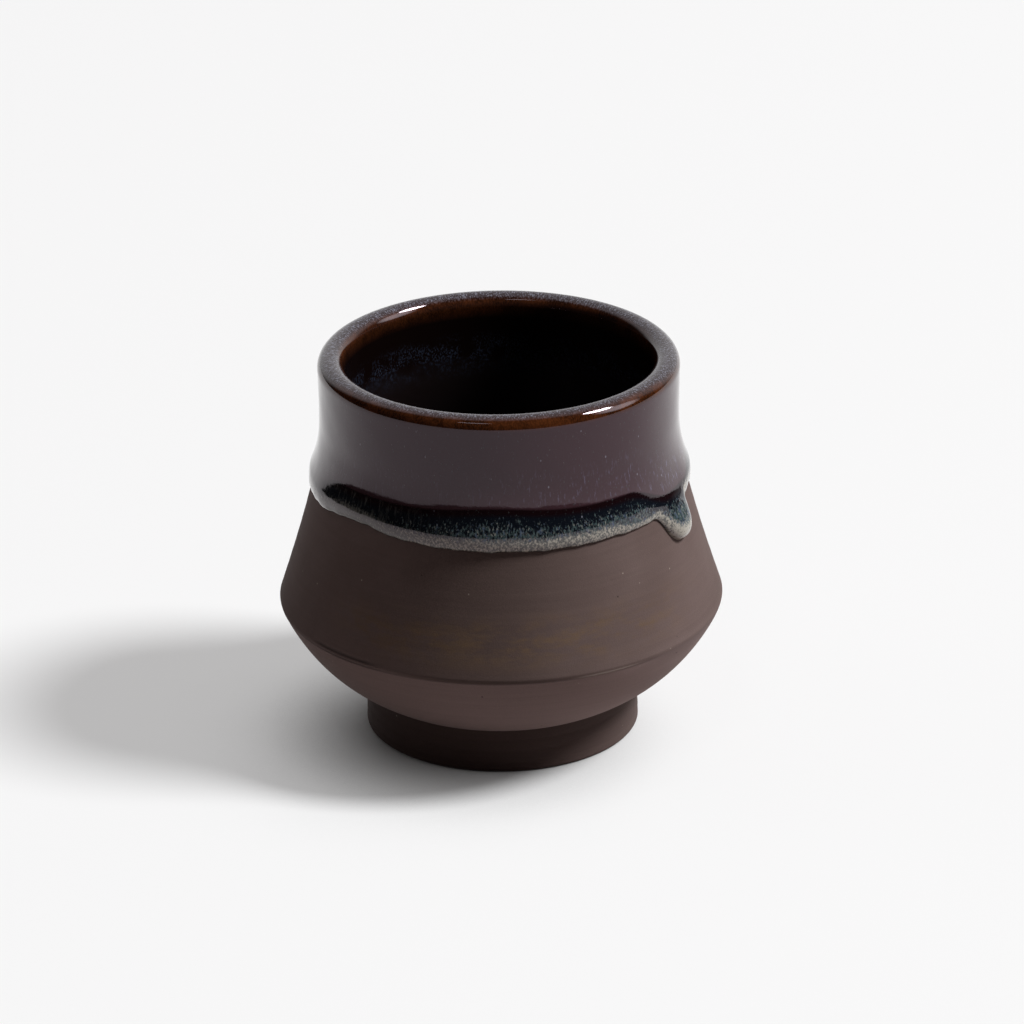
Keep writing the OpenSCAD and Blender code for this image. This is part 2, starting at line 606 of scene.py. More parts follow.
class ShaderTree:
    """Node tree of a material or of the world."""

    def __init__(self, owner: bpy.types.Material | bpy.types.World) -> None:
        """Clears a node tree, to fill it afresh.

        Args:
            owner: Material or world that the tree belongs to.
        """
        owner.use_nodes = True
        self.tree = owner.node_tree
        self.tree.nodes.clear()

    def node(
        self,
        kind: str,
        settings: Mapping[str, Any] | None = None,
        inputs: Mapping[str | int, Any] | None = None,
        output: str | int = 0,
    ) -> Sock:
        """Adds a node.

        Args:
            kind: Blender's name of the node's type.
            settings: Properties of the node, set first.
            inputs: Values or links of its input sockets, by name or number.
            output: Name or number of the output to give.

        Returns:
            The chosen output socket, or the first input where the node has no output.
        """
        node = self.tree.nodes.new(kind)
        for name, value in (settings or {}).items():
            setattr(node, name, value)
        for key, value in (inputs or {}).items():
            socket = node.inputs[key]
            if isinstance(value, Sock):
                self.tree.links.new(value.socket, socket)
            elif isinstance(value, tuple) and len(value) == 3 and socket.type == "RGBA":
                socket.default_value = (*value, 1.0)
            else:
                socket.default_value = value
        return Sock(self, node.outputs[output] if node.outputs else node.inputs[0])

    def times(self, vector: Sock, by: Sock | Colour) -> Sock:
        """Product of two vectors or colours, value by value."""
        return self.node("ShaderNodeVectorMath", {"operation": "MULTIPLY"}, {0: vector, 1: by})

    def place(self, stretch: Colour = (1.0, 1.0, 1.0)) -> Sock:
        """Object coordinates in millimetres, stretched along each axis."""
        coordinates = self.node("ShaderNodeTexCoord", output="Object")
        return self.times(coordinates, tuple(s / MM for s in stretch))

    def part(self, vector: Sock, axis: str) -> Sock:
        """One of a vector's three values."""
        return self.node("ShaderNodeSeparateXYZ", None, {0: vector}, axis)

    def attribute(self, name: str, output: str = "Fac") -> Sock:
        """A value or a vector that the mesh holds at its points."""
        return self.node("ShaderNodeAttribute", {"attribute_name": name}, output=output)

    def along(self, stretch: Colour) -> Sock:
        """Coordinates that follow the coat's flow over the cup, in millimetres, stretched along each axis."""
        return self.times(self.attribute("flow", "Vector"), stretch)

    def noise(self, kind: Noise, along: bool = False) -> Sock:
        """Adds a noise.

        Args:
            kind: The noise's sizes.
            along: True for a noise that follows the coat's flow.

        Returns:
            A value from 0 to 1.
        """
        place = self.along(kind.stretch) if along else self.place(kind.stretch)
        inputs = {"Vector": place, "Scale": kind.scale, "Detail": kind.detail, "Roughness": kind.roughness}
        return self.node("ShaderNodeTexNoise", None, inputs)

    def spots(self, kind: Spots) -> Sock:
        """Adds scattered spots.

        Args:
            kind: The spots' sizes.

        Returns:
            A value that is 1 on a spot and 0 elsewhere.
        """
        inputs = {"Vector": self.place(kind.stretch), "Scale": kind.scale}
        random = self.node("ShaderNodeTexVoronoi", None, inputs, "Color")
        near = Sock(self, random.socket.node.outputs["Distance"])
        return (1 - near.step(*kind.size)) * self.part(random, "X").step(*kind.chance)

    def mix(self, share: Value, first: Sock | Colour, second: Sock | Colour) -> Sock:
        """Colour between two others."""
        return self.node("ShaderNodeMix", {"data_type": "RGBA"}, {0: share, 6: first, 7: second}, 2)

    def shade(self, colour: Sock, share: Value) -> Sock:
        """Colour darkened or lightened by a value round 1."""
        grey = self.node("ShaderNodeCombineXYZ", None, {0: share, 1: share, 2: share})
        return self.times(colour, grey)

    def bump(self, height: Sock, depth: float, under: Sock | None = None) -> Sock:
        """Normal that follows a height.

        Args:
            height: Height from 0 to 1.
            depth: Depth in millimetres that a height of 1 stands for.
            under: Normal that the new one is laid over.

        Returns:
            The normal.
        """
        inputs: dict[str, Any] = {"Height": height, "Strength": 1.0, "Distance": depth * MM}
        if under is not None:
            inputs["Normal"] = under
        return self.node("ShaderNodeBump", None, inputs)

    def surface(self, inputs: Mapping[str, Any]) -> None:
        """Ends a material's tree in one principled shader."""
        shader = self.node("ShaderNodeBsdfPrincipled", None, inputs)
        self.node("ShaderNodeOutputMaterial", None, {"Surface": shader})


# Finishes


@dataclass(frozen=True)
class Stoneware:
    """Bare dark stoneware, fired matte, with a fine grain and a faint ochre flash.

    Spans along x, y and z are in millimetres. A share says how much of a colour is laid over the
    rest, and a pass between which values of a noise it sets in.
    """

    clay: Colour = (0.123, 0.086, 0.079)
    dusk: Colour = (0.103, 0.070, 0.063)
    # Painted shade, laid over the middle of the front of the shoulder.
    front_shade: Colour = (0.079, 0.0525, 0.0465)
    # Painted shade at the left and painted light at the right of the zone below the turning line.
    turned_left_shade: Colour = (0.192, 0.139, 0.129)
    turned: Colour = (0.222, 0.163, 0.154)
    turned_right_light: Colour = (0.285, 0.211, 0.2)
    # Painted shade on the foot, and painted light at its right.
    foot: Colour = (0.060, 0.038, 0.034)
    foot_right_light: Colour = (0.096, 0.066, 0.06)
    flash: Colour = (0.138, 0.084, 0.042)
    fleck: Colour = (0.42, 0.36, 0.31)
    pit: Colour = (0.03, 0.02, 0.018)
    shade_left_x: Span = (-24.0, -3.0)
    light_right_x: Span = (0.0, 22.0)
    front_y: Span = (-12.0, 0.0)
    foot_shade_z: Span = (7.05, 7.15)
    sharp_z: Span = (20.9, 21.5)
    soft_z: Span = (17.4, 23.4)
    soft_x: Span = (19.0, 28.0)
    front_shade_x: tuple[Span, Span] = ((-20.0, -2.0), (0.0, 18.0))
    flash_x: tuple[Span, Span] = ((-29.0, -17.0), (20.0, 32.0))
    flash_z: tuple[Span, Span] = ((21.8, 27.4), (27.4, 33.0))
    mottle: Noise = Noise(0.06, 4.0, 0.55)
    patches: Noise = Noise(0.4, 5.0, 0.7, (0.4, 0.4, 1.0))
    streaks: Noise = Noise(1.0, stretch=(0.05, 0.05, 1.6))
    grain: Noise = Noise(4.5, 3.0, 0.7)
    flecks: Spots = Spots(0.42, (0.03, 0.075), (0.84, 0.86))
    pits: Spots = Spots(0.33, (0.03, 0.07), (0.86, 0.88))
    mottle_pass: Span = (0.32, 0.68)
    patch_pass: Span = (0.38, 0.66)
    front_shade_share: float = 0.7
    front_shade_mottle: float = 0.5
    soft_share: float = 0.9
    flash_share: float = 0.62
    streak_share: float = 0.17
    grain_share: float = 0.3
    fleck_share: float = 0.55
    pit_share: float = 0.8
    # Painted shade in the grooves and a painted highlight on the burr.
    groove_shade_share: float = 0.75
    burr_highlight_share: float = 0.4
    grain_depth: float = 0.02
    streak_depth: float = 0.015
    roughness: float = 0.82
    specular: float = 0.25

    def ground(self, tree: ShaderTree) -> Sock:
        """Colours the clay in its broad parts.

        Soft mottling between two browns, with painted shade laid over the middle of the front of the
        shoulder. The clay is lighter below the turning line, which is sharp apart from the right; below
        it, painted shade darkens the left and painted light brightens the right. The foot is darkened
        with painted shade and lightened at its right with painted light. Where the kiln's flame has
        flashed it, level patches of ochre lie low on the front of the shoulder.

        Args:
            tree: Tree of the clay.

        Returns:
            The colour.
        """
        place = tree.place()
        x, y, height = (tree.part(place, axis) for axis in "XYZ")
        front = 1 - y.step(*self.front_y)
        right = x.step(*self.light_right_x)
        mottle = tree.noise(self.mottle)
        colour = tree.mix(mottle.step(*self.mottle_pass), self.dusk, self.clay)
        # Painted shade: the front of the shoulder is darkened across its middle, with a mottled edge.
        front_shaded = x.band(*self.front_shade_x) * front
        colour = tree.mix(front_shaded * (self.front_shade_share + self.front_shade_mottle * mottle), colour, self.front_shade)
        soft = x.step(*self.soft_x) * self.soft_share
        turned = 1 - height.step(*self.sharp_z) * (1 - soft) - height.step(*self.soft_z) * soft
        # Painted shade at the left and painted light at the right of the turned zone.
        below = tree.mix(x.step(*self.shade_left_x), self.turned_left_shade, self.turned)
        colour = tree.mix(turned, colour, tree.mix(right, below, self.turned_right_light))
        # Painted shade darkens the foot, and painted light brightens its right.
        foot = tree.mix(right, self.foot, self.foot_right_light)
        colour = tree.mix(1 - height.step(*self.foot_shade_z), colour, foot)
        flashed = height.band(*self.flash_z) * x.band(*self.flash_x) * front
        flashed = flashed * tree.noise(self.patches).step(*self.patch_pass)
        return tree.mix(flashed * self.flash_share, colour, self.flash)

    def material(self) -> bpy.types.Material:
        """Makes the material.

        Over the broad colours lie faint level turning streaks, grain, pale flecks and dark pits. The
        mesh says how deep its grooves are ("groove"), which get painted shade, and is below 0 on its
        burr, which gets a painted highlight.

        Returns:
            The new material.
        """
        made = bpy.data.materials.new("stoneware")
        tree = ShaderTree(made)
        streaks, grain = tree.noise(self.streaks), tree.noise(self.grain)
        tone = 1 + (streaks - 0.5) * self.streak_share + (grain - 0.5) * self.grain_share
        colour = tree.shade(self.ground(tree), tone)
        colour = tree.mix(tree.spots(self.flecks) * self.fleck_share, colour, self.fleck)
        pits = tree.spots(self.pits)
        colour = tree.mix(pits * self.pit_share, colour, self.pit)
        # Painted shade in the grooves, and a painted highlight on the burr.
        groove = tree.attribute("groove")
        colour = tree.mix(groove * self.groove_shade_share, colour, self.pit)
        colour = tree.mix(groove * -self.burr_highlight_share, colour, self.fleck)
        normal = tree.bump(streaks - pits, self.streak_depth, tree.bump(grain, self.grain_depth))
        inputs = {"Base Color": colour, "Roughness": self.roughness, "Normal": normal}
        tree.surface(inputs | {"Specular IOR Level": self.specular})
        return made


@dataclass(frozen=True)
class IronGlaze:
    """Glossy iron glaze: purple-brown, amber where thin, black, blue and pale where it has gathered.

    Falls and heights are in millimetres, below the top of the pooled band and above the coat's
    lower edge, and depths below the lip inside. A share says how much of a colour is laid over the
    rest, and a pass between which values of a noise it sets in.
    """

    body: Colour = (0.043, 0.0205, 0.0255)
    maroon: Colour = (0.007, 0.0022, 0.0030)
    night: Colour = (0.004, 0.0055, 0.009)
    blue: Colour = (0.068, 0.092, 0.136)
    sea: Colour = (0.058, 0.088, 0.092)
    ash: Colour = (0.19, 0.195, 0.18)
    pale: Colour = (0.12, 0.124, 0.115)
    cream: Colour = (0.41, 0.39, 0.335)
    thin: Colour = (0.018, 0.0055, 0.0018)
    amber: Colour = (0.082, 0.0235, 0.007)
    crown: Colour = (0.020, 0.012, 0.013)
    frost: Colour = (0.29, 0.30, 0.37)
    lilac: Colour = (0.12, 0.105, 0.165)
    black: Colour = (0.004, 0.0018, 0.0016)
    navy: Colour = (0.021, 0.027, 0.045)
    sheen: Colour = (1.0, 0.85, 0.94)
    index: float = 1.44
    hair: Noise = Noise(3.6, 3.0, 0.65, (1.0, 1.0, 0.5))
    dash: Noise = Noise(3.3, stretch=(1.0, 1.0, 0.6))
    tint: Noise = Noise(1.6, 2.0, 0.5, (1.0, 1.0, 0.6))
    scratch: Noise = Noise(2.2, stretch=(1.0, 1.0, 0.16))
    grit: Noise = Noise(3.4, stretch=(1.0, 1.0, 0.75))
    streak: Noise = Noise(4.3, stretch=(1.0, 1.0, 0.6))
    thread: Noise = Noise(2.4, stretch=(1.0, 1.0, 0.28))
    cloud: Noise = Noise(0.3, 2.0, 0.5)
    skin: Noise = Noise(0.55, 1.0, 0.4)
    freckles: Spots = Spots(0.8, (0.06, 0.14), (0.86, 0.9), (1.0, 1.0, 0.7))
    maroon_fall: Span = (-0.15, 0.3)
    night_fall: Span = (0.6, 1.6)
    strand_fall: Span = (0.5, 4.6)
    scratch_fall: Span = (0.1, 0.8)
    margin_height: Span = (1.6, 2.4)
    margin_ragged: float = 2.0
    # Where the painted shade along the coat's lower edge lies, and where it stops on the run.
    edge_shade_height: Span = (0.08, 0.35)
    edge_shade_bloom: Span = (1.4, 1.9)
    speck_bloom: Span = (0.2, 0.9)
    inside_depth: Span = (-0.4, 0.0)
    star_depth: tuple[Span, Span] = ((3.5, 6.5), (8.5, 12.5))
    dull_depth: Span = (3.0, 12.0)
    strand_pass: Span = (0.62, 0.76)
    sea_pass: Span = (0.36, 0.5)
    ash_pass: Span = (0.5, 0.66)
    dash_pass: Span = (0.35, 0.6)
    scratch_pass: Span = (0.5, 0.72)
    speck_pass: Span = (0.42, 0.66)
    thread_pass: Span = (0.55, 0.74)
    star_pass: Span = (0.48, 0.66)
    star_cloud: Span = (0.38, 0.55)
    amber_pass: Span = (0.35, 0.7)
    amber_cloud: Span = (0.4, 0.6)
    rime_pass: Span = (0.48, 0.66)
    strand_gain: float = 0.24
    strand_least: float = 0.35
    speck_gain: float = 0.13
    speck_least: float = 0.3
    scratch_share: float = 0.6
    edge_shade_share: float = 0.8
    thread_share: float = 0.85
    freckle_share: float = 0.5
    amber_share: float = 0.6
    rime_share: float = 0.55
    roughness: float = 0.05
    rime_rough: float = 0.12
    margin_rough: float = 0.06
    dull_rough: float = 0.4
    skin_depth: float = 0.012
    grit_depth: float = 0.004

    def gathered(self, tree: ShaderTree, grit: Sock) -> tuple[Sock, Sock]:
        """Colours the coat outside: its body, and black, blue strands and a pale margin where it gathers.

        Strands of noise stand out where they pass a bound that falls with the distance below the
        top of the pooled band ("fall"), by as much as the coat has bloomed there ("bloom"). Where
        it hasn't, upright scratches show. The margin ends in a ragged line about 2 mm above the
        coat's lower edge ("gather"), and a thin dark line of painted shade runs along the edge itself,
        apart from the run.

        Args:
            tree: Tree of the glaze.
            grit: Fine noise.

        Returns:
            The colour, and 1 on the margin.
        """
        gather, fall, bloom = (tree.attribute(name) for name in ("gather", "fall", "bloom"))
        kinds = self.hair, self.dash, self.tint, self.scratch
        hair, dash, tint, scratch = (tree.noise(kind, along=True) for kind in kinds)
        colour = tree.mix(fall.step(*self.maroon_fall), self.body, self.maroon)
        colour = tree.mix(fall.step(*self.night_fall), colour, self.night)
        strands = (hair + fall.step(*self.strand_fall) * bloom * self.strand_gain).step(*self.strand_pass)
        strands = strands * (self.strand_least + (1 - self.strand_least) * dash.step(*self.dash_pass))
        strand = tree.mix(tint.step(*self.sea_pass), self.blue, self.sea)
        colour = tree.mix(strands, colour, tree.mix(grit.step(*self.ash_pass), strand, self.ash))
        scratches = scratch.step(*self.scratch_pass) * (1 - bloom) * fall.step(*self.scratch_fall)
        colour = tree.mix(scratches * self.scratch_share, colour, self.pale)
        margin = 1 - (gather + (dash - 0.5) * self.margin_ragged).step(*self.margin_height)
        specks = (grit + (bloom - 1) * self.speck_gain).step(*self.speck_pass)
        specks = specks * (self.speck_least + (1 - self.speck_least) * bloom.step(*self.speck_bloom))
        colour = tree.mix(margin, colour, tree.mix(specks, self.pale, self.cream))
        # Painted shade: a thin dark line along the coat's lower edge.
        line = (1 - gather.step(*self.edge_shade_height)) * (1 - bloom.step(*self.edge_shade_bloom))
        return tree.mix(line * self.edge_shade_share, colour, self.night), margin

    def material(self) -> bpy.types.Material:
        """Makes the material.

        The mesh says where the coat is thin ("thin"), where the lip's top is ("crown"), where
        lilac threads drift down the collar ("drift") and how far below the lip the inside is
        ("within", below 0 outside). The coat's outside is coloured first, and then the threads,
        pale freckles, the inside, the amber lip and the frost on its top are laid over it.

        Returns:
            The new material.
        """
        made = bpy.data.materials.new("iron_glaze")
        tree = ShaderTree(made)
        drift, thin, crown, within = (tree.attribute(name) for name in ("drift", "thin", "crown", "within"))
        kinds = self.grit, self.streak, self.thread
        grit, streak, thread = (tree.noise(kind, along=True) for kind in kinds)
        cloud = tree.noise(self.cloud)
        colour, margin = self.gathered(tree, grit)
        colour = tree.mix(thread.step(*self.thread_pass) * drift * self.thread_share, colour, self.lilac)
        colour = tree.mix(tree.spots(self.freckles) * self.freckle_share, colour, self.frost)
        colour = tree.mix(within.step(*self.inside_depth), colour, self.black)
        stars = grit.step(*self.star_pass) * within.band(*self.star_depth)
        colour = tree.mix(stars * cloud.step(*self.star_cloud), colour, self.navy)
        broken = streak.step(*self.amber_pass) * self.amber_share
        broken = broken + cloud.step(*self.amber_cloud) * (1 - self.amber_share)
        colour = tree.mix(thin, colour, tree.mix(broken, self.thin, self.amber))
        colour = tree.mix(crown, colour, self.crown)
        rime = crown * streak.step(*self.rime_pass)
        colour = tree.mix(rime * self.rime_share, colour, self.frost)
        rough = self.roughness + rime * self.rime_rough + margin * self.margin_rough
        rough = rough + within.step(*self.dull_depth) * self.dull_rough
        normal = tree.bump(grit, self.grit_depth, tree.bump(tree.noise(self.skin), self.skin_depth))
        inputs = {"Base Color": colour, "Roughness": rough, "IOR": self.index, "Normal": normal}
        tree.surface(inputs | {"Specular Tint": self.sheen})
        return made


# Pieces of the cup


@dataclass
class ThrownBody:
    """Body of bare stoneware, with the ledge that turning left on the belly and faint throwing marks."""

    section: CupSection
    columns: int = 576
    cover_gap: float = 1.0
    turning_z: float = 21.35
    askew: float = 0.1
    askew_phase: float = 0.6
    ledge: float = 0.085
    ledge_w: float = 0.4
    ledge_reach: Span = (9.0, 1.0)
    ledge_end: tuple[Span, Span] = ((34.0, 56.0), (130.0, 160.0))
    ledge_loss: float = 0.85
    groove: float = 0.14
    groove_w: float = 0.17
    groove_rise: Span = (0.1, 0.8)
    groove_at: Hump = Hump(-45.0, 15.0)
    groove_least: float = 0.04
    second_share: Span = (0.45, 0.8)
    burr: float = 0.06
    burr_w: float = 0.14
    burr_rise: float = 0.05
    burr_at: Hump = Hump(28.0, 9.0, power=4.0)
    mark_depth: float = 0.008
    mark_waves: Span = (1.9, 4.3)
    mark_drift: float = 0.5
    mark_second: float = 0.6
    mark_fade: float = 4.0

    def profile(self) -> Grid:
        """Section of the body: its lines and curves one after another, each with its count of points.

        The points lie wider apart where the glaze covers the body.

        Returns:
            Points as radius and height, from the boss under the floor, up the outside, over the lip
            and down to the floor.
        """
        s = self.section
        reach = s.run_tip_z - self.cover_gap
        return np.concatenate(
            [
                np.linspace([0.0, s.recess_z], [s.boss_r, s.recess_z], 6),
                [[s.boss_r, s.foot_h]],
                np.linspace([s.boss_r, s.foot_h], s.foot_top, 4)[1:-1],
                s.bowl(34),
                s.belly_edge(30)[1:],
                s.shoulder(s.shoulder_start[1], reach, 34)[1:],
                s.shoulder(reach, s.waist_z, 18)[1:],
                s.collar(0.0, 0.0, 4)[1:],
                s.lip(0.0, 9)[1:],
                s.inside(0.0, 0.0, 8)[1:],
            ]
        )

    def line(self, turn: Grid) -> Grid:
        """Height of the turning line, which is a little askew."""
        return self.turning_z + self.askew * np.sin(np.radians(turn) - self.askew_phase)

    def grooves(self, turn: Grid, height: Grid) -> Grid:
        """Depth of the grooves along the turning line, as a share of the deepest.

        Formula: a narrow hump in height on the line, deepest at the left, where a second one lies
        above it.

        Args:
            turn: Angles round the cup, in degrees.
            height: Heights of the surface's points.

        Returns:
            Shares from 0 to 1.
        """
        line = self.line(turn)
        first, second = (hump(height, line + rise, self.groove_w) for rise in self.groove_rise)
        left = self.groove_at.at(wrapped(turn))
        first = first * (self.groove_least + (1 - self.groove_least) * left)
        return first + second * ease(left, *self.second_share)

    def burrs(self, turn: Grid, height: Grid) -> Grid:
        """Height of the burr along the turning line at the right, as a share of the highest."""
        right = self.burr_at.at(wrapped(turn))
        return hump(height, self.line(turn) + self.burr_rise, self.burr_w) * right

    def marks(self, turn: Grid, height: Grid) -> Grid:
        """How far the surface stands out or in from its plain section.

        Formula: below the turning line the surface is cut in by a ledge, which fades out at the
        right. Along the line run the grooves, and a burr stands up. Low waves in height on the
        shoulder, which drift round the cup, are what the fingers left.

        Args:
            turn: Angles round the cup, in degrees.
            height: Heights of the surface's points.

        Returns:
            Distances along the radius.
        """
        angle = np.radians(turn)
        line = self.line(turn)
        far, near = self.ledge_reach
        end = plateau(wrapped(turn), *self.ledge_end)
        cut = self.ledge * plateau(height, (line - far, line - near), (line - self.ledge_w, line))
        cut = cut * (1 - self.ledge_loss * end)
        trench = self.groove * self.grooves(turn, height)
        burr = self.burr * self.burrs(turn, height)
        slow, quick = (height * wave for wave in self.mark_waves)
        waves = np.sin(slow + self.mark_drift * np.sin(angle)) + self.mark_second * np.sin(quick - angle)
        shown = ease(height, line, line + self.mark_fade)
        return self.mark_depth * waves * shown + burr - cut - trench

    def build(self, finish: bpy.types.Material) -> bpy.types.Object:
        """Makes the body, puts its finish on and sets it in the frame.

        Args:
            finish: Material of the bare clay.

        Returns:
            The body.
        """
        profile = self.profile()
        turn = np.linspace(0.0, 360.0, self.columns, endpoint=False)[:, None]
        radius, height = profile[:, 0], profile[:, 1]
        outside = np.arange(len(profile)) < np.argmax(height)
        shown = outside & (height > self.section.foot_h + TINY)
        points = stand(radius + self.marks(turn, height) * shown, height, turn).reshape(-1, 3)
        # These values also drive the painted shade in the grooves and the painted highlight on the burr.
        groove = ((self.grooves(turn, height) - self.burrs(turn, height)) * shown).reshape(-1, 1)
        patches = [Patch(ring_ids(self.columns, len(profile), poles=True))]
        points, values = used_only(points, patches, {"groove": groove})
        return Piece("thrown_body", points, patches, values).seat(finish, "clay_body")


@dataclass
class TurnedFoot:
    """Foot ring that the cup stands on, with the worn edges of its standing face."""

    section: CupSection
    columns: int = 540
    mark_depth: float = 0.025
    mark_waves: Span = (3.1, 6.7)
    mark_drift: float = 0.4
    mark_second: float = 0.5
    fade_low: Span = (0.8, 1.6)
    fade_high: float = 1.0

    def profile(self) -> Grid:
        """Closed section of the ring: lines between two quarter rounds, each with its count of points.

        Returns:
            Points as radius and height: standing edge, outer wall, top, hollow's wall, inner edge
            and land.
        """
        s = self.section
        inner, outer = s.land
        angle = np.linspace(-math.pi / 2, 0.0, 9)
        edge = np.stack([np.cos(angle), np.sin(angle)], axis=1) * s.foot_edge
        wall_foot = np.array([s.foot_r, s.foot_edge])
        hollow_foot = np.array([inner - s.foot_edge, s.foot_edge])
        back = edge[::-1] * [-1.0, 1.0]
        return np.concatenate(
            [
                edge + [outer, s.foot_edge],
                np.linspace(wall_foot, s.foot_top, 26)[1:],
                np.linspace(s.foot_top, [s.boss_r, s.foot_h], 4)[1:],
                np.linspace([s.boss_r, s.foot_h], [s.boss_r, s.recess_z], 3)[1:],
                np.linspace([s.boss_r, s.recess_z], hollow_foot, 12)[1:-1],
                back + [inner, s.foot_edge],
                np.linspace([inner, 0.0], [outer, 0.0], 10)[1:-1],
            ]
        )

    def build(self, finish: bpy.types.Material) -> bpy.types.Object:
        """Makes the foot, puts its finish on and sets it in the frame.

        The outer wall has faint level waves where the turning tool chattered.

        Args:
            finish: Material of the bare clay.

        Returns:
            The foot.
        """
        profile = self.profile()
        s = self.section
        turn = np.linspace(0.0, 360.0, self.columns, endpoint=False)[:, None]
        radius, height = profile[:, 0], profile[:, 1]
        shown = plateau(height, self.fade_low, (s.foot_h - self.fade_high, s.foot_h))
        wall = (radius > s.land[1]) * shown
        slow, quick = (height * wave for wave in self.mark_waves)
        waves = np.sin(slow + self.mark_drift * np.sin(np.radians(turn))) + self.mark_second * np.sin(quick)
        points = stand(radius + self.mark_depth * waves * wall, height, turn).reshape(-1, 3)
        ids = ring_ids(self.columns, len(profile))
        patches = [Patch(np.concatenate([ids, ids[:, :1]], axis=1))]
        return Piece("turned_foot", points, patches).seat(finish, "foot_ring")


@dataclass(frozen=True)
class GlazeEdge:
    """Line on the shoulder where the glaze stops, with the run that hangs from it."""

    section: CupSection
    run_left: float = 13.6
    run_right: float = 7.7
    run_pad: Span = (0.4, 0.7)
    left_powers: Span = (2.6, 3.8)
    right_powers: Span = (3.5, 0.62)
    swings: tuple[Hump, ...] = (
        Hump(-47.0, 12.0, 0.85, 2.2),
        Hump(-27.0, 13.0, 0.45, 2.2),
        Hump(5.0, 22.0, -0.3, 2.2),
        Hump(43.0, 13.0, -0.08, 2.2),
    )
    waves: tuple[tuple[float, float, float], ...] = (
        (0.13, 5.0, 0.9),
        (0.10, 8.0, 2.1),
        (0.055, 23.0, 0.0),
        (0.04, 41.0, 1.0),
        (0.03, 67.0, 2.0),
    )
    band_z: float = 47.05
    crest: Hump = Hump(-2.0, 17.0, 0.85)
    right_sink: float = 3.0
    right_turns: tuple[Span, Span] = ((43.0, 62.0), (74.0, 92.0))
    left_sink: float = 2.5
    left_turns: tuple[Span, Span] = ((58.0, 76.0), (82.0, 105.0))
    front_lift: float = 0.64
    front_turn: float = -6.0
    front_fade: Span = (70.0, 85.0)
    left_lift: Hump = Hump(-57.0, 17.0, 1.5, 3.0)
    slack: Hump = Hump(25.0, 18.0, 0.35)
    dip: Hump = Hump(RUN_TURN - 4.0, 12.0, 1.75, 4.0)

    @property
    def sector(self) -> tuple[float, float]:
        """Angles between which the run hangs."""
        left, right = self.run_pad
        return RUN_TURN - self.run_left - left, RUN_TURN + self.run_right + right

    def sag(self, turn: Grid) -> Grid:
        """How far down the run reaches, as a share of its length.

        Formula: with x the distance from the run's middle as a share of its width on that side,
        (1 - x^a)^b, where the powers a and b make its left slanted and its right steep.

        Args:
            turn: Angles round the cup, in degrees.

        Returns:
            Shares from 0 to 1.
        """
        away = wrapped(turn - RUN_TURN)
        left = np.clip(-away / self.run_left, 0.0, 1.0)
        right = np.clip(away / self.run_right, 0.0, 1.0)
        sides = ((left, self.left_powers), (right, self.right_powers))
        slant, steep = ((1 - x**inner) ** outer for x, (inner, outer) in sides)
        return np.where(away < 0, slant, steep)

    def height(self, turn: Grid) -> Grid:
        """Height of the glaze's lower edge.

        Formula: the roll's height, plus a hump up or down for each swing, and sines that close round
        the cup for the waves (size, number and phase), less the run's sag.

        Args:
            turn: Angles round the cup, in degrees.

        Returns:
            Heights of the same shape.
        """
        angle = np.radians(turn)
        wave = sum(size * np.sin(number * angle + phase) for size, number, phase in self.waves)
        swing = sum(swing.at(wrapped(turn)) for swing in self.swings)
        length = self.section.roll_z - self.section.run_tip_z
        return self.section.roll_z + wave + swing - length * self.sag(turn)

    def band_top(self, turn: Grid) -> Grid:
        """Height down to which the coat keeps its body colour, above the pooled band.

        Formula: an even height, with a low hump over the front, less a plateau over the run at the
        right and one at the left end of the front, whose turns count to the left.

        Args:
            turn: Angles round the cup, in degrees.

        Returns:
            Heights of the same shape.
        """
        around = wrapped(turn)
        right = self.right_sink * plateau(around, *self.right_turns)
        left = self.left_sink * plateau(-around, *self.left_turns)
        return self.band_z + self.crest.at(around) - right - left

    def lift(self, turn: Grid) -> Grid:
        """How far the swell above the edge lies over its usual height.

        Formula: an even lift over the front, a hump over the rise at the left and a slight slack at
        the right, faded out towards the cup's sides, and a dip over the run.

        Args:
            turn: Angles round the cup, in degrees.

        Returns:
            Heights of the same shape.
        """
        around = wrapped(turn)
        shown = 1 - ease(np.abs(around - self.front_turn), *self.front_fade)
        bulge = self.front_lift + self.left_lift.at(around) - self.slack.at(around)
        return bulge * shown - self.dip.at(around)


@dataclass
class GlazeSkin:
    """Grid of the whole coat: columns round the cup, rows from its lower edge over the lip to the floor."""

    points: Grid
    clay: Grid
    height: Grid
    gather: Grid
    waist: int
    lip_foot: int
    lip_end: int

    @property
    def shape(self) -> tuple[int, int]:
        """Numbers of columns and rows."""
        return self.height.shape

    def normals(self) -> Grid:
        """Outward normals: the cross product of the grid's two directions at each point.

        Returns:
            Normals of shape (columns, rows, 3), which point up at the middle of the floor.
        """
        normals = unit(np.cross(slope(self.points, 0), slope(self.points, 1)))
        normals[:, -1] = [0.0, 0.0, 1.0]
        return normals


